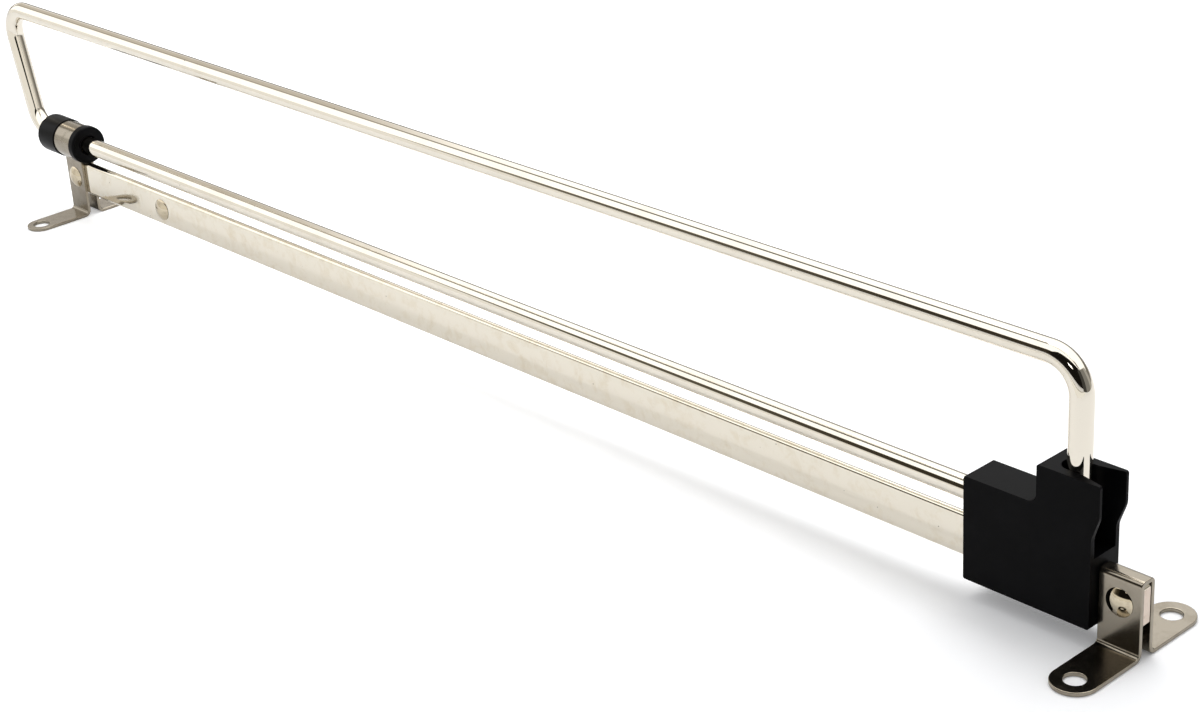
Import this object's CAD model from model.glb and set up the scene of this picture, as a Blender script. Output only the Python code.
"""Looks of the pull-out clothes rail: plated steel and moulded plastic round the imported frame.

Sizes of the pieces are millimetres, as on a maker's drawing, and become metres in the meshes.
X runs along the rail towards the end that pulls out, Z up from the feet, and Y across.
"""

import logging
import math
from dataclasses import dataclass
from enum import Enum

import bmesh
import bpy
import numpy as np
from mathutils import Matrix, Vector


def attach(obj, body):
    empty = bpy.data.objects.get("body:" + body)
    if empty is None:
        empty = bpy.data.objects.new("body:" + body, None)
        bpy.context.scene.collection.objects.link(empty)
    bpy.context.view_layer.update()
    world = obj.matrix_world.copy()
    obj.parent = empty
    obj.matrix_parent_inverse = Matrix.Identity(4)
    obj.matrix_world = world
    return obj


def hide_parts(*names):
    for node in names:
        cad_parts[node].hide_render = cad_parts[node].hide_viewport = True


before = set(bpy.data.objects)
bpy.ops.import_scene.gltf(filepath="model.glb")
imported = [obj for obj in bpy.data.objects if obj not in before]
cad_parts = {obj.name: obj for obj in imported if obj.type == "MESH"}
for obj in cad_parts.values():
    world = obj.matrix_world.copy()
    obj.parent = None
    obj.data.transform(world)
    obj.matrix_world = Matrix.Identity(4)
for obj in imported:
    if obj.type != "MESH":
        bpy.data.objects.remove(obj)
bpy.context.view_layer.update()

MM = 0.001
# A pinhole in nickel plate is about 0.1 mm wide; it is drawn a few times as wide, so that it shows
PINHOLE_R_MM = 0.24
PINHOLE_BROWN = "#4a3a24"
# Faces that meet at less than the first angle become one, and at less than the second are shaded as
# one; edges sharper than the third are broken
FLAT_DEG, SMOOTH_DEG, BROKEN_DEG = 0.5, 32, 40
# Points closer than this are one point: as built, and after the bevel
SAME_SPOT_MM, SAME_BEVEL_MM = 0.001, 0.0005
# Node setting of a fade that starts and ends softly
SOFT = {"interpolation_type": "SMOOTHSTEP"}
# Sides of a turned piece, and of the wire
TURNED_SIDES, WIRE_SIDES = 96, 72
log = logging.getLogger("clothes_rail")


class Body(Enum):
    """The two groups of pieces that move as one."""

    RAIL = "fixed_rail"
    LOOP = "sliding_loop"


class Axis(Enum):
    """Axis that a piece is turned about: where its height and its two radii go in X, Y and Z."""

    X = (0, 1, 2)
    Y = (1, 0, 2)


class Corner(Enum):
    """How a piece's edges are broken, by the way that the piece is made."""

    STAMPED = (0.25, 3)
    ROLLED = (0.40, 3)
    MOULDED = (0.34, 3)

    def apply(self, piece: bpy.types.Object) -> None:
        """Round the piece's sharp edges with a Bevel modifier.

        Args:
            piece: the object whose edges are rounded.
        """
        width, segments = self.value
        bevel = piece.modifiers.new("broken_edges", "BEVEL")
        bevel.width = width * MM
        bevel.segments = segments
        bevel.limit_method = "ANGLE"
        bevel.angle_limit = math.radians(BROKEN_DEG)
        bevel.harden_normals = True


# ---- colours and node trees


def linear(code: str) -> tuple[float, float, float, float]:
    """Turn an sRGB hex value into the linear colour that a shader takes.

    Args:
        code: the colour, such as "#d3cbbe".

    Returns:
        Red, green, blue and an alpha of 1.
    """
    srgb = np.array([int(code[i : i + 2], 16) for i in (1, 3, 5)]) / 255
    rgb = np.where(srgb <= 0.04045, srgb / 12.92, ((srgb + 0.055) / 1.055) ** 2.4)
    return (*rgb.tolist(), 1.0)


def add_node(
    tree: bpy.types.NodeTree,
    kind: str,
    settings: dict[str | int, object],
    links: dict[str | int, bpy.types.NodeSocket],
) -> bpy.types.Node:
    """Add one node with its settings and its incoming links.

    Args:
        tree: the node tree that takes the node.
        kind: the node's type, such as "ShaderNodeTexNoise".
        settings: values of the node's own properties, by name, or of its inputs, by name or number.
        links: output sockets of other nodes, by the name or number of the input that they feed.

    Returns:
        The new node.
    """
    node = tree.nodes.new(kind)
    for name, value in settings.items():
        if isinstance(name, str) and hasattr(node, name):
            setattr(node, name, value)
        else:
            node.inputs[name].default_value = value
    for name, socket in links.items():
        tree.links.new(socket, node.inputs[name])
    return node


def new_material(name: str) -> tuple[bpy.types.Material, bpy.types.NodeTree, bpy.types.Node]:
    """Make a material that holds nothing but its output.

    Args:
        name: the material's name.

    Returns:
        The material, its node tree and its output node.
    """
    material = bpy.data.materials.new(name)
    material.use_nodes = True
    tree = material.node_tree
    tree.nodes.clear()
    return material, tree, add_node(tree, "ShaderNodeOutputMaterial", {}, {})


# ---- finishes


@dataclass(frozen=True)
class NickelPlate:
    """Electroplated nickel over steel.

    Nickel has a warm grey tint. What the steel went through before plating decides the rest: drawn
    and polished wire mirrors the room, rolled bar and strip keep a fine grain that blurs it.

    Attributes:
        name: the material's name.
        slot: the record's material slot.
        tint: colour of the clean plate.
        handled: colour where hands and packing have dulled it.
        roughness: roughness of the clean plate and of the dulled spots.
        grain_mm: width of one grain line.
        grain_run_mm: length of one grain line.
        grain_depth_mm: depth of the grain in the bump.
        smudge_mm: size of the dulled spots.
        pinhole_mm: distance between pinholes in the plate.
        follows_wire: whether the grain follows the piece's own UV map, in place of the X axis.
    """

    name: str
    slot: str
    tint: str
    handled: str
    roughness: tuple[float, float]
    grain_mm: float
    grain_run_mm: float
    grain_depth_mm: float
    smudge_mm: float
    pinhole_mm: float
    follows_wire: bool = False

    def material(self) -> bpy.types.Material:
        """Build the material's nodes.

        Returns:
            The material.
        """
        material, tree, output = new_material(self.name)
        place = add_node(tree, "ShaderNodeTexCoord", {}, {})
        smudges = add_node(
            tree,
            "ShaderNodeTexNoise",
            {"Scale": 1 / (self.smudge_mm * MM), "Detail": 4, "Roughness": 0.62, "Distortion": 0.4},
            {"Vector": place.outputs["Object"]},
        )
        spots = add_node(
            tree,
            "ShaderNodeMapRange",
            {"From Min": 0.48, "From Max": 0.78},
            {"Value": smudges.outputs["Fac"]},
        )
        # The UV map of the wire is in millimetres, and object coordinates are in metres
        unit = 1.0 if self.follows_wire else MM
        lines = 1 / (self.grain_mm * unit)
        along = add_node(
            tree,
            "ShaderNodeMapping",
            {"Scale": (1 / (self.grain_run_mm * unit), lines, lines)},
            {"Vector": place.outputs["UV" if self.follows_wire else "Object"]},
        )
        grain = add_node(
            tree,
            "ShaderNodeTexNoise",
            {"Scale": 1.0, "Detail": 3.0, "Roughness": 0.6},
            {"Vector": along.outputs["Vector"]},
        )
        plate_colour = add_node(
            tree,
            "ShaderNodeMix",
            {"data_type": "RGBA", 6: linear(self.tint), 7: linear(self.handled)},
            {"Factor": spots.outputs["Result"]},
        )
        cells = add_node(
            tree,
            "ShaderNodeTexVoronoi",
            {"Scale": 1 / (self.pinhole_mm * MM)},
            {"Vector": place.outputs["Object"]},
        )
        rim = PINHOLE_R_MM / self.pinhole_mm
        pinholes = add_node(
            tree,
            "ShaderNodeMapRange",
            {"From Min": 0.4 * rim, "From Max": rim, "To Min": 0.8, "To Max": 0.0},
            {"Value": cells.outputs["Distance"]},
        )
        colour = add_node(
            tree,
            "ShaderNodeMix",
            {"data_type": "RGBA", 7: linear(PINHOLE_BROWN)},
            {"Factor": pinholes.outputs["Result"], 6: plate_colour.outputs[2]},
        )
        rough = add_node(
            tree,
            "ShaderNodeMapRange",
            {"To Min": self.roughness[0], "To Max": self.roughness[1]},
            {"Value": spots.outputs["Result"]},
        )
        relief = add_node(
            tree,
            "ShaderNodeBump",
            {"Distance": self.grain_depth_mm * MM},
            {"Height": grain.outputs["Fac"]},
        )
        plate = add_node(
            tree,
            "ShaderNodeBsdfPrincipled",
            {"Metallic": 1.0},
            {
                "Base Color": colour.outputs[2],
                "Roughness": rough.outputs["Result"],
                "Normal": relief.outputs["Normal"],
            },
        )
        tree.links.new(plate.outputs["BSDF"], output.inputs["Surface"])
        return material


@dataclass(frozen=True)
class MouldedPlastic:
    """Injection-moulded acetal, filled black, from a spark-eroded mould.

    The fine pits of the mould blur what it mirrors, so it looks matt from above and nearly black
    from the side.

    Attributes:
        name: the material's name.
        slot: the record's material slot.
        colour: colour of the moulding.
        scuffed: colour where it has been rubbed.
        roughness: roughness of the surface.
        specular: specular level, for the weak mirror of the pitted skin.
        pit_mm: spacing of the mould's pits.
        pit_depth_mm: depth of the pits in the bump.
        scuff_mm: size of the rubbed patches.
    """

    name: str
    slot: str
    colour: str
    scuffed: str
    roughness: float
    specular: float
    pit_mm: float
    pit_depth_mm: float
    scuff_mm: float = 9.0

    def material(self) -> bpy.types.Material:
        """Build the material's nodes.

        Returns:
            The material.
        """
        material, tree, output = new_material(self.name)
        place = add_node(tree, "ShaderNodeTexCoord", {}, {})
        pits = add_node(
            tree,
            "ShaderNodeTexNoise",
            {"Scale": 1 / (self.pit_mm * MM)},
            {"Vector": place.outputs["Object"]},
        )
        scuffs = add_node(
            tree,
            "ShaderNodeTexNoise",
            {"Scale": 1 / (self.scuff_mm * MM), "Detail": 5.0, "Roughness": 0.65},
            {"Vector": place.outputs["Object"]},
        )
        rubbed = add_node(
            tree,
            "ShaderNodeMapRange",
            {"From Min": 0.45, "From Max": 0.8},
            {"Value": scuffs.outputs["Fac"]},
        )
        colour = add_node(
            tree,
            "ShaderNodeMix",
            {"data_type": "RGBA", 6: linear(self.colour), 7: linear(self.scuffed)},
            {"Factor": rubbed.outputs["Result"]},
        )
        relief = add_node(
            tree,
            "ShaderNodeBump",
            {"Distance": self.pit_depth_mm * MM},
            {"Height": pits.outputs["Fac"]},
        )
        skin = add_node(
            tree,
            "ShaderNodeBsdfPrincipled",
            {"Roughness": self.roughness, "Specular IOR Level": self.specular, "IOR": 1.48},
            {"Base Color": colour.outputs[2], "Normal": relief.outputs["Normal"]},
        )
        tree.links.new(skin.outputs["BSDF"], output.inputs["Surface"])
        return material


Finish = NickelPlate | MouldedPlastic

# Drawn, polished and plated: a mirror, with the faintest lines along the wire
BRIGHT_WIRE = NickelPlate(
    name="bright_nickel_drawn_wire",
    slot="wire_nickel",
    tint="#e8e1d3",
    handled="#ddd5c6",
    roughness=(0.045, 0.10),
    grain_mm=0.35,
    grain_run_mm=30,
    grain_depth_mm=0.0006,
    smudge_mm=16,
    pinhole_mm=6,
    follows_wire=True,
)
# Rolled flat steel: the mill's grain runs along the bar, and hands have left faint patches
SATIN_BAR = NickelPlate(
    name="satin_nickel_rolled_bar",
    slot="bar_nickel",
    tint="#e9e2d3",
    handled="#ded3bd",
    roughness=(0.045, 0.12),
    grain_mm=0.25,
    grain_run_mm=14,
    grain_depth_mm=0.0009,
    smudge_mm=4,
    pinhole_mm=5,
)
# The bar's sheared ends: torn steel under the same plate, so duller and a little pink
SHEARED_END = NickelPlate(
    name="dull_nickel_sheared_end",
    slot="bar_nickel",
    tint="#d3c3b5",
    handled="#c3b19f",
    roughness=(0.22, 0.35),
    grain_mm=0.3,
    grain_run_mm=1.5,
    grain_depth_mm=0.002,
    smudge_mm=2,
    pinhole_mm=5,
)
# Cold-rolled strip, barrel plated after it was stamped and bent
STRIP_PLATE = NickelPlate(
    name="nickel_stamped_strip",
    slot="strip_nickel",
    tint="#9a9284",
    handled="#847b6c",
    roughness=(0.18, 0.28),
    grain_mm=0.30,
    grain_run_mm=5,
    grain_depth_mm=0.0009,
    smudge_mm=6,
    pinhole_mm=7,
)
# Headed rivets, tumbled bright
BRIGHT_RIVET = NickelPlate(
    name="bright_nickel_rivet",
    slot="rivet_nickel",
    tint="#cfc3ab",
    handled="#a99c85",
    roughness=(0.05, 0.12),
    grain_mm=0.5,
    grain_run_mm=0.5,
    grain_depth_mm=0.0012,
    smudge_mm=3,
    pinhole_mm=5,
)
BLOCK_ACETAL = MouldedPlastic(
    name="black_acetal_block",
    slot="block_plastic",
    colour="#030304",
    scuffed="#09090b",
    roughness=0.40,
    specular=0.055,
    pit_mm=0.18,
    pit_depth_mm=0.006,
)
BUSH_ACETAL = MouldedPlastic(
    name="black_acetal_bush",
    slot="bush_plastic",
    colour="#040405",
    scuffed="#08080a",
    roughness=0.30,
    specular=0.07,
    pit_mm=0.22,
    pit_depth_mm=0.004,
)


# ---- meshes


def lattice(rows: int, columns: int, wrap: bool) -> tuple[np.ndarray, np.ndarray]:
    """Number the quads of a grid of points.

    Args:
        rows: number of rows of points.
        columns: number of points in a row.
        wrap: whether each row closes on itself.

    Returns:
        The four point numbers of each quad, and the row and column of its corners before wrapping.
    """
    i, j = np.indices((rows - 1, columns if wrap else columns - 1)).reshape(2, -1)
    corners = np.stack(
        [np.stack(pair, -1) for pair in ((i, j), (i, j + 1), (i + 1, j + 1), (i + 1, j))], 1
    )
    return corners[..., 0] * columns + corners[..., 1] % columns, corners


def make_mesh(name: str, points: np.ndarray, faces: list[list[int]]) -> bpy.types.Mesh:
    """Put points and faces into a mesh, in metres.

    Args:
        name: the mesh's name.
        points: an array of points in millimetres, three numbers each.
        faces: lists of point numbers.

    Returns:
        The new mesh.
    """
    mesh = bpy.data.meshes.new(name)
    mesh.from_pydata((points.reshape(-1, 3) * MM).tolist(), [], faces)
    return mesh


def knit(mesh: bpy.types.Mesh, merge_flats: bool = False) -> None:
    """Merge the points that share a spot, and turn the faces outwards.

    Args:
        mesh: the mesh.
        merge_flats: whether the faces of each flat become one.
    """
    shell = bmesh.new()
    shell.from_mesh(mesh)
    bmesh.ops.remove_doubles(shell, verts=shell.verts, dist=SAME_SPOT_MM * MM)
    if merge_flats:
        limit = math.radians(FLAT_DEG)
        bmesh.ops.dissolve_limit(
            shell, angle_limit=limit, verts=shell.verts, edges=shell.edges, delimit=set()
        )
    bmesh.ops.recalc_face_normals(shell, faces=shell.faces)
    shell.to_mesh(mesh)
    shell.free()


def dress(mesh: bpy.types.Mesh, finish: Finish) -> bpy.types.Object:
    """Put a mesh into the scene, shade it smooth and give it its finish.

    Args:
        mesh: the piece's mesh.
        finish: what the piece is made of.

    Returns:
        The piece, at the origin, with the mesh's name.
    """
    piece = bpy.data.objects.new(mesh.name, mesh)
    bpy.context.scene.collection.objects.link(piece)
    mesh.shade_smooth()
    mesh.set_sharp_from_angle(angle=math.radians(SMOOTH_DEG))
    mesh.materials.clear()
    mesh.materials.append(finish.material())
    return piece


def place_on(piece: bpy.types.Object, body: Body, *nodes: str) -> bpy.types.Object:
    """Let a piece ride on its body in place of its CAD nodes, and report it.

    Args:
        piece: the object.
        body: the body that carries it.
        nodes: the CAD nodes that it stands for.

    Returns:
        The same object.
    """
    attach(piece, body.value)
    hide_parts(*nodes)
    log.info("%s: %d points, for %s", piece.name, len(piece.data.vertices), ", ".join(nodes))
    return piece


def turned(
    name: str, profile: np.ndarray, centre: tuple[float, float, float], axis: Axis, finish: Finish
) -> bpy.types.Object:
    """Turn a profile about an axis: point = centre + height * axis + radius * (cos, sin).

    Args:
        name: the piece's name.
        profile: radius and height of each point, in order. It ends where it started, or starts and
            ends on the axis.
        centre: the axis's point at height 0.
        axis: the axis.
        finish: what the piece is made of.

    Returns:
        The turned piece.
    """
    turn = np.linspace(0, 2 * np.pi, TURNED_SIDES, endpoint=False)
    radius, height = profile[:, :1], profile[:, 1:]
    first, second = radius * np.cos(turn), radius * np.sin(turn)
    parts = (np.broadcast_to(height, first.shape), first, second)
    points = np.stack([parts[part] for part in axis.value], -1) + centre
    faces, _ = lattice(len(profile), TURNED_SIDES, wrap=True)
    mesh = make_mesh(name, points, faces.tolist())
    knit(mesh)
    return dress(mesh, finish)


def arc(
    centre: tuple[float, float], radius: float, start: float, end: float, steps: int
) -> np.ndarray:
    """Points on an arc: centre + radius * (cos a, sin a), for a from start to end.

    Args:
        centre: the arc's centre.
        radius: its radius.
        start: its first angle, in degrees.
        end: its last angle, in degrees.
        steps: the number of chords.

    Returns:
        An array of points, two numbers each.
    """
    a = np.radians(np.linspace(start, end, steps + 1))
    return np.array(centre) + radius * np.stack([np.cos(a), np.sin(a)], -1)


def to_left(way: np.ndarray) -> np.ndarray:
    """Turn a direction in the plane a quarter turn to its left, with a length of 1."""
    return np.array([-way[1], way[0]]) / np.hypot(*way)


def distances(line: np.ndarray) -> np.ndarray:
    """Distance of each point of a line in the plane from its first, along the line."""
    return np.r_[0, np.cumsum(np.hypot(*np.diff(line, axis=0).T))]


# ---- sub-assemblies


@dataclass
class Rail:
    """Sizes that several pieces share.

    Attributes:
        rear_x: middle of the rear bracket.
        front_x: middle of the front bracket and of the bush.
        stop_x: middle of the rivet that stops the block.
        bar_t: thickness of the flat bar.
        bar_top: height of its upper edge.
        sheet: thickness of the strip that both brackets are bent from.
        rivet_z: height of the rivets.
        guide_z: height of the wire's guided run.
        hang_z: height of its hanging run.
    """

    rear_x: float = -224.0
    front_x: float = 224.0
    stop_x: float = 171.0
    bar_t: float = 3.0
    bar_top: float = 20.0
    sheet: float = 1.1
    rivet_z: float = 14.0
    guide_z: float = 26.8
    hang_z: float = 70.3


@dataclass
class WireLoop:
    """The bent wire: guided run, rear upright, hanging run and leaning front upright."""

    rail: Rail
    radius: float = 3.0
    bend_r: float = 9.0
    bend_step_deg: float = 3.0
    rear_x: float = -210.1
    front_foot_x: float = 248.0
    front_top_x: float = 258.0428
    rear_end_x: float = -191.3
    front_end_x: float = -190.3
    end_chamfer: float = 0.4

    def corners(self) -> np.ndarray:
        """Find where the straight runs of the middle line would meet.

        Returns:
            Its ends and the corners between them as (x, z), from the rear end to the front one.
        """
        low, high = self.rail.guide_z, self.rail.hang_z
        return np.array(
            [
                (self.rear_end_x, low),
                (self.rear_x, low),
                (self.rear_x, high),
                (self.front_top_x, high),
                (self.front_foot_x, low),
                (self.front_end_x, low),
            ]
        )

    def middle_line(self) -> tuple[np.ndarray, np.ndarray]:
        """Round the corners with arcs of the bend radius.

        Each bend starts bend_r * tan(turn / 2) before its corner.

        Returns:
            Points of the line, and the unit normal at each, to the left of the way along it.
        """
        corners = self.corners()
        points, normals = [corners[0]], [to_left(corners[1] - corners[0])]
        for before, corner, after in zip(corners, corners[1:], corners[2:]):
            into, out = corner - before, after - corner
            into, out = into / np.hypot(*into), out / np.hypot(*out)
            turn = math.atan2(into[0] * out[1] - into[1] * out[0], into @ out)
            trim = self.bend_r * math.tan(abs(turn) / 2)
            side = math.copysign(1, turn)
            arm = -to_left(into) * side
            centre = corner - into * trim - arm * self.bend_r
            steps = round(abs(turn) / math.radians(self.bend_step_deg))
            angles = np.linspace(0, turn, steps + 1)[:, None]
            arms = np.cos(angles) * arm + np.sin(angles) * to_left(arm)
            points.extend(centre + arms * self.bend_r)
            normals.extend(-arms * side)
        points.append(corners[-1])
        normals.append(to_left(corners[-1] - corners[-2]))
        return np.array(points), np.array(normals)

    def build(self) -> bpy.types.Object:
        """Carry a circle along the middle line: point = line + r * (cos t * normal + sin t * Y).

        Returns:
            The wire.
        """
        line, normal = self.middle_line()
        # A small chamfer at both cut ends: a ring more just inside each, and the end rings drawn in
        start, end = line[1] - line[0], line[-1] - line[-2]
        start, end = (gap / np.hypot(*gap) * self.end_chamfer for gap in (start, end))
        line = np.r_[line[:1], line[:1] + start, line[1:-1], line[-1:] - end, line[-1:]]
        normal = np.r_[normal[:1], normal, normal[-1:]]
        radius = np.full(len(line), self.radius)
        radius[[0, -1]] -= self.end_chamfer
        t = np.linspace(0, 2 * np.pi, WIRE_SIDES, endpoint=False)
        across = radius[:, None] * np.cos(t)
        points = np.stack(
            [
                line[:, :1] + normal[:, :1] * across,
                radius[:, None] * np.sin(t),
                line[:, 1:] + normal[:, 1:] * across,
            ],
            -1,
        )
        faces, corners = lattice(len(line), WIRE_SIDES, wrap=True)
        # The lattice's quads face the middle line, so they are turned, and so is the far end's cap
        whole = len(line) * WIRE_SIDES
        caps = [list(range(WIRE_SIDES)), list(range(whole - 1, whole - WIRE_SIDES - 1, -1))]
        mesh = make_mesh("wire_rail", points, faces[:, ::-1].tolist() + caps)
        self.unwrap(mesh, distances(line), corners[:, ::-1])
        return place_on(dress(mesh, BRIGHT_WIRE), Body.LOOP, "wire_loop")

    def unwrap(self, mesh: bpy.types.Mesh, length: np.ndarray, corners: np.ndarray) -> None:
        """Give the wire a UV map in millimetres: u along the wire, v round it.

        Args:
            mesh: the wire's mesh, whose quads come before its two caps.
            length: the distance along the wire of each ring.
            corners: row and column of each quad's corners.
        """
        around = 2 * np.pi * self.radius / WIRE_SIDES
        quads = np.stack([length[corners[..., 0]], corners[..., 1] * around], -1).reshape(-1, 2)
        caps = np.zeros((len(mesh.loops) - len(quads), 2))
        layer = mesh.uv_layers.new(name="wire_mm")
        layer.data.foreach_set("uv", np.r_[quads, caps].astype(np.float32).ravel())


@dataclass
class FoldedStrip:
    """A bracket bent from one strip of sheet steel with round ends, each with a screw hole."""

    name: str
    node: str
    x: float
    rail: Rail
    width: float
    foot_bend_r: float = 1.2
    hole_reach: float = 19.0
    hole_r: float = 2.75
    columns: int = 9
    rings: int = 5
    tip_steps: int = 28

    def half_foot(self) -> np.ndarray:
        """Draw the middle line of the foot and its bend on the +Y side.

        Returns:
            Points (y, z), from the tip to the leg.
        """
        sheet = self.rail.sheet
        leg_out = self.rail.bar_t / 2 + sheet
        centre = (leg_out + self.foot_bend_r, sheet + self.foot_bend_r)
        tip = (self.hole_reach + self.width / 2, sheet / 2)
        return np.r_[[tip], arc(centre, self.foot_bend_r + sheet / 2, -90, -180, steps=12)]

    def half_top(self) -> np.ndarray:
        """Draw the middle line from the leg to Y = 0 on the +Y side; each bracket has its own."""
        raise NotImplementedError

    def middle_line(self) -> np.ndarray:
        """Join both halves of the strip's middle line.

        Returns:
            Points (y, z), from one tip to the other.
        """
        half = np.r_[self.half_foot(), self.half_top()]
        return np.r_[half, half[::-1][1:] * (-1, 1)]

    def flat_pattern(
        self, length: float, stations: np.ndarray
    ) -> tuple[np.ndarray, list[list[int]]]:
        """Lay out the flat strip as quads: rings round each hole, and rows across between them.

        Args:
            length: the developed length of the strip.
            stations: distances along the strip at which a row is needed.

        Returns:
            Points (distance along, distance across) and faces.
        """
        half = self.width / 2
        across = np.linspace(-half, half, self.columns)
        straight = half + np.linspace(0, half, self.columns // 2 + 1)[1:-1]
        outline = np.r_[
            arc((half, 0), half, 90, 270, self.tip_steps),
            np.stack([straight, np.full_like(straight, -half)], -1),
            np.stack([np.full_like(across, 2 * half), across], -1),
            np.stack([straight[::-1], np.full_like(straight, half)], -1),
        ]
        arm = outline - (half, 0)
        rim = (half, 0) + arm / np.hypot(*arm.T)[:, None] * self.hole_r
        share = np.linspace(0, 1, self.rings)[:, None, None]
        near = (rim * (1 - share) + outline * share).reshape(-1, 2)
        far = near * (-1, 1) + (length, 0)
        ring_faces, _ = lattice(self.rings, len(outline), wrap=True)
        between = stations[(stations > 2 * half) & (stations < length - 2 * half)]
        rows = np.r_[2 * half, between, length - 2 * half]
        body = np.stack(np.meshgrid(rows, across, indexing="ij"), -1)
        body_faces, _ = lattice(len(rows), self.columns, wrap=False)
        points = np.r_[near, far, body.reshape(-1, 2)]
        faces = [ring_faces, ring_faces[:, ::-1] + len(near), body_faces[:, ::-1] + 2 * len(near)]
        return points, np.concatenate(faces).tolist()

    def build(self) -> bpy.types.Object:
        """Bend the flat pattern along the middle line, and give it the sheet's thickness.

        A point at distance s along and x across goes to (x, y(s), z(s)).

        Returns:
            The bracket.
        """
        line = self.middle_line()
        stations = distances(line)
        flat, faces = self.flat_pattern(stations[-1], stations)
        bent = [np.interp(flat[:, 0], stations, line[:, i]) for i in (0, 1)]
        mesh = make_mesh(self.name, np.stack([self.x + flat[:, 1], *bent], -1), faces)
        knit(mesh)
        piece = dress(mesh, STRIP_PLATE)
        sheet = piece.modifiers.new("sheet", "SOLIDIFY")
        sheet.thickness = self.rail.sheet * MM
        sheet.offset = 0
        sheet.use_even_offset = True
        Corner.STAMPED.apply(piece)
        return place_on(piece, Body.RAIL, self.node)


@dataclass
class RearBracket(FoldedStrip):
    """The strip folded square over the bar's rear end."""

    fold_bend_r: float = 0.4

    def half_top(self) -> np.ndarray:
        """Draw the middle line round the fold.

        Returns:
            Points (y, z), up to Y = 0.
        """
        side, top, half = self.rail.bar_t / 2, self.rail.bar_top, self.rail.sheet / 2
        centre = (side - self.fold_bend_r, top - self.fold_bend_r)
        return np.r_[arc(centre, self.fold_bend_r + half, 0, 90, steps=10), [(0, top + half)]]


@dataclass
class FrontBracket(FoldedStrip):
    """The strip wrapped round the bush, and pinched in below it to the bar."""

    strap_r: float = 5.25
    neck_bend_r: float = 1.5

    def half_top(self) -> np.ndarray:
        """Draw the middle line through the neck's bend and round the bush.

        Returns:
            Points (y, z), up to Y = 0.
        """
        sheet, guide_z = self.rail.sheet, self.rail.guide_z
        neck_y = self.rail.bar_t / 2 + sheet + self.neck_bend_r
        reach = self.strap_r + sheet + self.neck_bend_r
        slope = math.degrees(math.acos(neck_y / reach))
        neck_z = guide_z - math.sqrt(reach**2 - neck_y**2)
        neck = arc((neck_y, neck_z), self.neck_bend_r + sheet / 2, 180, 180 - slope, steps=10)
        wrap = arc((0, guide_z), self.strap_r + sheet / 2, -slope, 90, steps=30)
        return np.r_[neck, wrap[1:]]


@dataclass
class Rivets:
    """The three rivets: one through each bracket, and the stop through the bar alone."""

    rail: Rail
    head_r: float = 3.75
    head_h: float = 1.4
    shank_r: float = 2.0
    rim_h: float = 0.12
    lift: float = 0.012
    dome_share: float = 0.985
    seat_share: float = 0.9
    dome_points: int = 24

    def profile(self, grip: float) -> np.ndarray:
        """Draw a rivet's half outline: dome, thin upright rim and shank, and the same mirrored.

        Args:
            grip: thickness of what the rivet holds.

        Returns:
            Radius and height of each point.
        """
        crown = self.head_h - self.rim_h
        dome_r = (self.head_r**2 + crown**2) / (2 * crown)
        radii = np.linspace(0, self.dome_share, self.dome_points) * self.head_r
        heights = np.sqrt(dome_r**2 - radii**2) - dome_r + self.head_h
        # The rim's edges are eased, and the head hovers over the plate by its lift
        rim = np.array([(1.0, 0.9), (1.0, 0.55), (0.97, 0.3)]) * (self.head_r, self.rim_h)
        under = [(self.head_r * self.seat_share, self.lift), (self.shank_r, self.lift)]
        half = np.r_[np.stack([radii, heights], -1), rim, under] + (0, grip / 2)
        return np.r_[half, half[::-1] * (1, -1)]

    def build(self) -> list[bpy.types.Object]:
        """Make the three rivets.

        Returns:
            The rivets, rear, front and stop.
        """
        rail, made = self.rail, []
        through = rail.bar_t + 2 * rail.sheet
        for name, node, x, grip in (
            ("rear_bracket_rivet", "rear_rivet", rail.rear_x, through),
            ("front_bracket_rivet", "front_rivet", rail.front_x, through),
            ("travel_stop_rivet", "stop_rivet", rail.stop_x, rail.bar_t),
        ):
            rivet = turned(name, self.profile(grip), (x, 0, rail.rivet_z), Axis.Y, BRIGHT_RIVET)
            made.append(place_on(rivet, Body.RAIL, node))
        return made


@dataclass
class Bush:
    """The collared bush that the front bracket's strap grips."""

    rail: Rail
    bore_r: float = 3.06
    barrel_r: float = 5.2
    collar_r: float = 6.7
    rear_collar_l: float = 3.0
    front_collar_l: float = 10.4
    barrel_l: float = 10.0
    edge_r: float = 0.8
    chamfer: float = 0.5
    inner_chamfer: float = 0.15

    def side(self, collar_l: float) -> np.ndarray:
        """Draw one half of the bush, from the bore's chamfer over the collar to the barrel.

        Args:
            collar_l: the collar's length.

        Returns:
            Radius and height of each point.
        """
        half, inner = self.barrel_l / 2, self.inner_chamfer
        face = half + collar_l
        centre = (self.collar_r - self.edge_r, face - self.edge_r)
        rim = arc(centre, self.edge_r, 90, 0, steps=10)
        return np.r_[
            [(self.bore_r, face - self.chamfer), (self.bore_r + self.chamfer, face)],
            rim,
            [(self.collar_r, half + inner), (self.collar_r - inner, half), (self.barrel_r, half)],
        ]

    def build(self) -> bpy.types.Object:
        """Turn the bush's closed half outline about the wire's axis.

        Returns:
            The bush.
        """
        front, rear = self.side(self.front_collar_l), self.side(self.rear_collar_l)
        outline = np.r_[front, rear[::-1] * (1, -1), front[:1]]
        centre = (self.rail.front_x, 0, self.rail.guide_z)
        bush = turned("bush_collars", outline, centre, Axis.X, BUSH_ACETAL)
        return place_on(bush, Body.RAIL, "bush")


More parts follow.
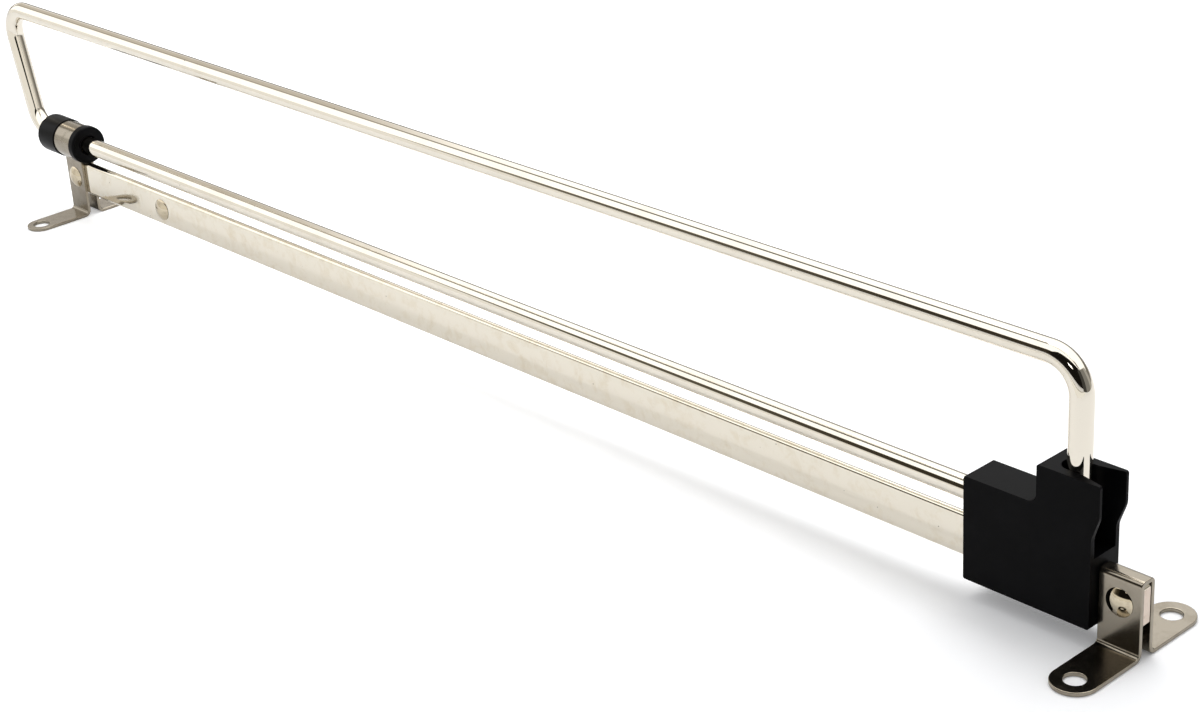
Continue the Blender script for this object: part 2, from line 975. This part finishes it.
@dataclass
class CutStock:
    """A piece whose CAD form is right, and which only needs its edges broken."""

    name: str
    node: str
    body: Body
    corner: Corner
    finish: Finish

    def build(self) -> bpy.types.Object:
        """Copy the CAD node's mesh, merge its loose triangles into flats and round its edges.

        Returns:
            The piece.
        """
        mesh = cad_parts[self.node].data.copy()
        mesh.name = self.name
        knit(mesh, merge_flats=True)
        self.reshape(mesh)
        if mesh.has_custom_normals:
            mesh.attributes.remove(mesh.attributes["custom_normal"])
        piece = dress(mesh, self.finish)
        self.corner.apply(piece)
        # Where the bevel is held back it leaves a few points on one spot
        seams = piece.modifiers.new("merged_seams", "WELD")
        seams.merge_threshold = SAME_BEVEL_MM * MM
        flats = piece.modifiers.new("flat_faces", "WEIGHTED_NORMAL")
        flats.keep_sharp = True
        return place_on(piece, self.body, self.node)

    def reshape(self, mesh: bpy.types.Mesh) -> None:
        """Change the copied mesh where the CAD form isn't enough; most pieces need nothing."""


@dataclass
class GuideBar(CutStock):
    """The rolled flat bar, whose long edges the mill rounds more than the CAD form does."""

    length: float = 460.0
    height: float = 12.0
    middle_z: float = 14.0
    corner_r: float = 1.5
    cad_edge_r: float = 0.8
    mill_edge_r: float = 1.42

    def build(self) -> bpy.types.Object:
        """Make the bar, and give the two faces that the shears left their duller plate.

        Returns:
            The bar.
        """
        piece = super().build()
        piece.data.materials.append(SHEARED_END.material())
        normals = np.empty(len(piece.data.polygons) * 3, np.float32)
        piece.data.polygons.foreach_get("normal", normals)
        sheared = np.abs(normals[::3]) > 0.95
        piece.data.polygons.foreach_set("material_index", sheared.astype(np.int32))
        return piece

    def reshape(self, mesh: bpy.types.Mesh) -> None:
        """Carry the edge round from its radius in the CAD out to the mill's radius.

        A point of the round lies at an angle a on a quarter circle of radius r, r * (1 - sin a)
        inside the bar's outline and r * (1 - cos a) inside its face. It keeps its angle and gets
        the new radius, which fades to the old one round the corners, so that the ends stay flat.

        Args:
            mesh: the bar's mesh, in metres.
        """
        spots = np.empty(len(mesh.vertices) * 3, np.float32)
        mesh.vertices.foreach_get("co", spots)
        spots = spots.reshape(-1, 3).astype(float) / MM
        half = np.array([self.length, self.height]) / 2
        place = spots[:, [0, 2]] - (0, self.middle_z)
        arm = np.maximum(np.abs(place) - (half - self.corner_r), 0)
        reach = np.hypot(*arm.T)
        out = np.sign(place) * arm / np.maximum(reach, 1e-9)[:, None]
        inside = self.corner_r - reach
        under = np.ptp(spots[:, 1]) / 2 - np.abs(spots[:, 1])
        on_round = np.maximum(inside, under) < self.cad_edge_r + SAME_SPOT_MM
        angle = np.arctan2(self.cad_edge_r - inside, self.cad_edge_r - under)
        radius = self.cad_edge_r + (self.mill_edge_r - self.cad_edge_r) * np.abs(out[:, 1])
        inwards = np.where(on_round, inside - radius * (1 - np.sin(angle)), 0)
        sideways = np.where(on_round, under - radius * (1 - np.cos(angle)), 0)
        spots[:, [0, 2]] += inwards[:, None] * out
        spots[:, 1] += sideways * np.sign(spots[:, 1])
        mesh.vertices.foreach_set("co", (spots * MM).astype(np.float32).ravel())


# ---- studio


# Brightness of the tent's cloth as metal mirrors it, where 1 is paper white
CLOTH = (1.5, 1.5, 1.5)
# The directions of the slit in the tent's front
SLIT = (("Y", -0.05, 0.12), ("Z", 0.90, 0.80))
# What metal mirrors of the room, from the cloth outwards: a linear colour, and where it fades in by
# the mirrored direction (x, y, z), as (axis, where it is clear, where it is full)
ROOM_LAYERS = (
    # The far corner of the roof hangs away from the lamp
    ((0.66, 0.62, 0.56), (("X", 0.71, 0.78), ("Z", 0.16, 0.44))),
    # The back cloth, just above the table
    ((0.22, 0.21, 0.19), (("tilt", 0.13, 0.07),)),
    # The end wall past the near bracket
    ((0.92, 0.89, 0.84), (("X", -0.15, -0.6), ("Y", -0.8, 0.1), ("Z", 0.60, 0.40))),
    # The dark room past the slit, browner and then paler towards the far end
    ((0.008, 0.007, 0.006), SLIT),
    ((0.042, 0.035, 0.024), (*SLIT, ("X", 0.36, 0.50))),
    ((0.13, 0.118, 0.09), (*SLIT, ("X", 0.56, 0.68))),
    ((0.60, 0.56, 0.50), (*SLIT, ("X", 0.68, 0.80))),
    # Its near side is lit through the tent's open end
    ((1.0, 0.97, 0.92), (*SLIT, ("X", -0.82, -0.91))),
)
# The end cloth by the near bracket hangs in two steps, which a ray from the far end passes between:
# name, x, lower edge, upper edge, and share of the widths below, in metres
END_STEPS = (("high", -0.52, 0.175, 0.32, 1.0), ("low", -0.34, 0.05, 0.115, 0.42))
# It is in shade, and paler away from the slit: name, grey level, first y and last y
END_SHADES = (("dark", 0.06, 0.20, 0.04), ("grey", 0.24, 0.04, -0.18), ("pale", 0.45, -0.18, -0.42))


@dataclass(frozen=True)
class MirroredShade:
    """A flat shade of the studio, which only mirrored rays see; all others pass through it.

    Attributes:
        name: the material's name.
        shade: the linear colour that metal mirrors.
    """

    name: str
    shade: tuple[float, float, float]

    def material(self) -> bpy.types.Material:
        """Build the material's nodes.

        Returns:
            The material.
        """
        material, tree, output = new_material(self.name)
        glow = add_node(tree, "ShaderNodeEmission", {"Color": (*self.shade, 1)}, {})
        clear = add_node(tree, "ShaderNodeBsdfTransparent", {}, {})
        rays = add_node(tree, "ShaderNodeLightPath", {}, {})
        mix = add_node(
            tree,
            "ShaderNodeMixShader",
            {},
            {0: rays.outputs["Is Glossy Ray"], 1: clear.outputs[0], 2: glow.outputs[0]},
        )
        tree.links.new(mix.outputs[0], output.inputs["Surface"])
        return material


@dataclass(frozen=True)
class TablePaper:
    """White paper on the table, which keeps shadows and has a faint glow of its own to the camera.

    Attributes:
        name: the material's name.
        colour: colour of the paper.
        fade_x: x where the glow starts to grow and where it stops.
        fade_glow: its strength at both.
        beyond: distances from the middle between which it grows to even white.
    """

    name: str = "white_table"
    colour: str = "#fbfbfc"
    fade_x: tuple[float, float] = (-0.30, 0.06)
    fade_glow: tuple[float, float] = (0.04, 0.40)
    beyond: tuple[float, float] = (0.35, 0.9)

    def material(self) -> bpy.types.Material:
        """Build the material's nodes.

        Returns:
            The material.
        """
        material, tree, output = new_material(self.name)
        paper = add_node(tree, "ShaderNodeBsdfDiffuse", {"Color": linear(self.colour)}, {})
        place = add_node(tree, "ShaderNodeTexCoord", {}, {}).outputs["Object"]
        parts = add_node(tree, "ShaderNodeSeparateXYZ", {}, {"Vector": place})
        # Towards the far end the cloth lights the table from below too, and shadows fade
        fade = add_node(
            tree,
            "ShaderNodeMapRange",
            SOFT
            | {"From Min": self.fade_x[0], "From Max": self.fade_x[1]}
            | {"To Min": self.fade_glow[0], "To Max": self.fade_glow[1]},
            {"Value": parts.outputs["X"]},
        )
        # Away from the rail the table is evenly white
        distance = add_node(tree, "ShaderNodeVectorMath", {"operation": "LENGTH"}, {0: place})
        beyond = add_node(
            tree,
            "ShaderNodeMapRange",
            SOFT | {"From Min": self.beyond[0], "From Max": self.beyond[1]},
            {"Value": distance.outputs["Value"]},
        )
        level = add_node(
            tree,
            "ShaderNodeMath",
            {"operation": "MAXIMUM"},
            {0: fade.outputs["Result"], 1: beyond.outputs["Result"]},
        )
        glow = add_node(
            tree, "ShaderNodeEmission", {"Color": (1, 1, 1, 1)}, {"Strength": level.outputs[0]}
        )
        both = add_node(tree, "ShaderNodeAddShader", {}, {0: paper.outputs[0], 1: glow.outputs[0]})
        rays = add_node(tree, "ShaderNodeLightPath", {}, {})
        mix = add_node(
            tree,
            "ShaderNodeMixShader",
            {},
            {0: rays.outputs["Is Camera Ray"], 1: paper.outputs[0], 2: both.outputs[0]},
        )
        tree.links.new(mix.outputs[0], output.inputs["Surface"])
        return material


def facing(place: Vector, aim: Vector) -> Matrix:
    """Stand a camera or a lamp at one point, and turn it to another.

    Args:
        place: where it stands, in metres.
        aim: the point it faces, in metres.

    Returns:
        Its world matrix.
    """
    turn = (aim - place).to_track_quat("-Z", "Y").to_matrix().to_4x4()
    return Matrix.Translation(place) @ turn


def stage_panel(
    name: str, corners: list[tuple[float, float, float]], finish: TablePaper | MirroredShade
) -> None:
    """Put one flat panel into the studio.

    Args:
        name: the panel's name.
        corners: its corners in order, in metres.
        finish: what it is made of.
    """
    mesh = bpy.data.meshes.new(name)
    mesh.from_pydata(corners, [], [tuple(range(len(corners)))])
    mesh.materials.append(finish.material())
    panel = bpy.data.objects.new(name, mesh)
    bpy.context.scene.collection.objects.link(panel)


@dataclass
class Studio:
    """White table, light tent and the camera at the photo's viewing angle; sizes are metres."""

    camera_mm: tuple[float, float, float] = (-504.02, 407.2, 305.543)
    aim_mm: tuple[float, float, float] = (-47.009, 0.0, 23.103)
    roll_deg: float = -3.6797
    lens_mm: float = 72.4233
    sensor_mm: float = 36.0
    table_reach: float = 6.0
    table_drop: float = 0.00005
    tent_y: float = 0.16
    fold_w: float = 0.006
    fold_d: float = 0.002
    fold_shade: tuple[float, float, float] = (0.50, 0.48, 0.43)
    lamp_place: tuple[float, float, float] = (0.1, -0.35, 1.1)
    lamp_aim: tuple[float, float, float] = (-0.05, 0.0, 0.0)
    lamp_size: float = 0.9
    lamp_watts: float = 9.0

    def camera(self) -> None:
        """Stand the camera, aim it and roll it."""
        lens = bpy.data.cameras.new("camera")
        lens.lens = self.lens_mm
        lens.sensor_width = self.sensor_mm
        lens.clip_start, lens.clip_end = 0.01, 50
        camera = bpy.data.objects.new("camera", lens)
        roll = Matrix.Rotation(math.radians(self.roll_deg), 4, "Z")
        place, aim = Vector(self.camera_mm) * MM, Vector(self.aim_mm) * MM
        camera.matrix_world = facing(place, aim) @ roll
        bpy.context.scene.collection.objects.link(camera)
        bpy.context.scene.camera = camera

    def table(self) -> None:
        """Lay a white table just under the feet."""
        signs = ((-1, -1), (1, -1), (1, 1), (-1, 1))
        corners = [(x * self.table_reach, y * self.table_reach, -self.table_drop) for x, y in signs]
        stage_panel("table", corners, TablePaper())

    def room(self) -> None:
        """Make the world: white to the camera, and in metal the inside of a white light tent."""
        world = bpy.data.worlds.new("room")
        bpy.context.scene.world = world
        world.use_nodes = True
        tree = world.node_tree
        tree.nodes.clear()
        way = add_node(tree, "ShaderNodeTexCoord", {}, {}).outputs["Generated"]
        parts = add_node(tree, "ShaderNodeSeparateXYZ", {}, {"Vector": way})
        tilt = add_node(
            tree, "ShaderNodeVectorMath", {"operation": "DOT_PRODUCT", 1: (0, 0.3, 1)}, {0: way}
        )
        values = {axis: parts.outputs[axis] for axis in "XYZ"} | {"tilt": tilt.outputs["Value"]}
        mirrored = None
        for shade, fades in ROOM_LAYERS:
            factor = None
            for axis, clear, full in fades:
                fade = add_node(
                    tree,
                    "ShaderNodeMapRange",
                    SOFT
                    | {"From Min": min(clear, full), "From Max": max(clear, full)}
                    | {"To Min": float(clear > full), "To Max": float(clear < full)},
                    {"Value": values[axis]},
                ).outputs["Result"]
                factor = (
                    add_node(
                        tree, "ShaderNodeMath", {"operation": "MULTIPLY"}, {0: factor, 1: fade}
                    ).outputs[0]
                    if factor
                    else fade
                )
            mirrored = add_node(
                tree,
                "ShaderNodeMix",
                {"data_type": "RGBA", 6: (*CLOTH, 1), 7: (*shade, 1)},
                {"Factor": factor} | ({6: mirrored} if mirrored else {}),
            ).outputs[2]
        rays = add_node(tree, "ShaderNodeLightPath", {}, {})
        shine = add_node(tree, "ShaderNodeBackground", {}, {"Color": mirrored})
        fill = add_node(
            tree, "ShaderNodeBackground", {"Color": (0.98, 0.99, 1.0, 1), "Strength": 0.62}, {}
        )
        white = add_node(tree, "ShaderNodeBackground", {"Color": (1, 1, 1, 1)}, {})
        seen = add_node(
            tree,
            "ShaderNodeMixShader",
            {},
            {0: rays.outputs["Is Glossy Ray"], 1: fill.outputs[0], 2: shine.outputs[0]},
        )
        whole = add_node(
            tree,
            "ShaderNodeMixShader",
            {},
            {0: rays.outputs["Is Camera Ray"], 1: seen.outputs[0], 2: white.outputs[0]},
        )
        add_node(tree, "ShaderNodeOutputWorld", {}, {"Surface": whole.outputs[0]})

    def tent(self) -> None:
        """Hang the tent's cloth, which only mirrored rays see.

        The front cloth is across the camera's side. The slit that the camera looks through is high
        at the -x end and closes to a point past the middle, and a seam runs along the cloth's top.
        """
        tip = (0.24, 0.100)
        left = [(-2, 1.2), (-0.85, 0.62), (-0.46, 0.42), (-0.26, 0.345)]
        top = np.array([*left, (-0.17, 0.27), (-0.135, 0.172), (0.06, 0.140)])
        foot = np.array([(0.10, 0.060), (-0.05, 0.038), (-2, 0.030)])
        fold = np.array([0, self.fold_w])
        cloth = [*(top + fold), tip, (2, 0.1), (2, 0.72), (-0.8, 0.72), (-2, 1.25)]
        seam = [(-0.8, 0.72), (0.3, 0.72), (0.3, 0.86), (-0.8, 0.86)]
        window = [(-0.288, 0.158), (-0.250, 0.160), (-0.250, 0.186), (-0.288, 0.184)]
        for name, shade, behind, corners in (
            ("tent_hem", (0.98, 0.97, 0.94), 0, [(-2, 0), (2, 0), (2, 0.1), tip, *(foot - fold)]),
            ("tent_cloth", CLOTH, 0, cloth),
            ("tent_fold_low", self.fold_shade, self.fold_d, [tip, *(foot - fold * 2), *foot[::-1]]),
            ("tent_fold_high", self.fold_shade, self.fold_d, [*(top + fold * 2), tip, *top[::-1]]),
            ("tent_seam", (0.2, 0.19, 0.17), 0, seam),
            ("window_past_the_slit", (5, 5, 5), 0, window),
        ):
            hung = [(x, self.tent_y + behind, z) for x, z in corners]
            stage_panel(name, hung, MirroredShade(name, shade))
        for step, x, low, high, width in END_STEPS:
            for tone, level, start, end in END_SHADES:
                name = f"end_cloth_{step}_{tone}"
                corners = ((start, low), (end, low), (end, high), (start, high))
                hung = [(x, y * width, z) for y, z in corners]
                stage_panel(name, hung, MirroredShade(name, (level, level * 0.98, level * 0.92)))

    def lamp(self) -> None:
        """Hang the square soft lamp in the tent's roof, over the far side of the rail."""
        light = bpy.data.lights.new("roof_softbox", "AREA")
        light.shape = "SQUARE"
        light.size = self.lamp_size
        light.energy = self.lamp_watts
        lamp = bpy.data.objects.new("roof_softbox", light)
        lamp.matrix_world = facing(Vector(self.lamp_place), Vector(self.lamp_aim))
        bpy.context.scene.collection.objects.link(lamp)

    def build(self) -> None:
        """Set up the table, the tent, the room, the lamp and the camera."""
        bpy.context.scene.view_settings.view_transform = "Standard"
        self.table()
        self.tent()
        self.room()
        self.lamp()
        self.camera()


def main() -> None:
    """Build every piece of the rail, in the order of assembly, and the studio round it."""
    logging.basicConfig(level=logging.INFO, format="%(name)s: %(message)s")
    rail = Rail()
    GuideBar("guide_bar", "flat_bar", Body.RAIL, Corner.ROLLED, SATIN_BAR).build()
    RearBracket("folded_rear_bracket", "rear_bracket", rail.rear_x, rail, 12.0).build()
    Bush(rail).build()
    FrontBracket("wrapped_front_bracket", "front_bracket", rail.front_x, rail, 10.0).build()
    Rivets(rail).build()
    WireLoop(rail).build()
    CutStock("slide_block", "slider_block", Body.LOOP, Corner.MOULDED, BLOCK_ACETAL).build()
    Studio().build()


if __name__ == "__main__":
    main()
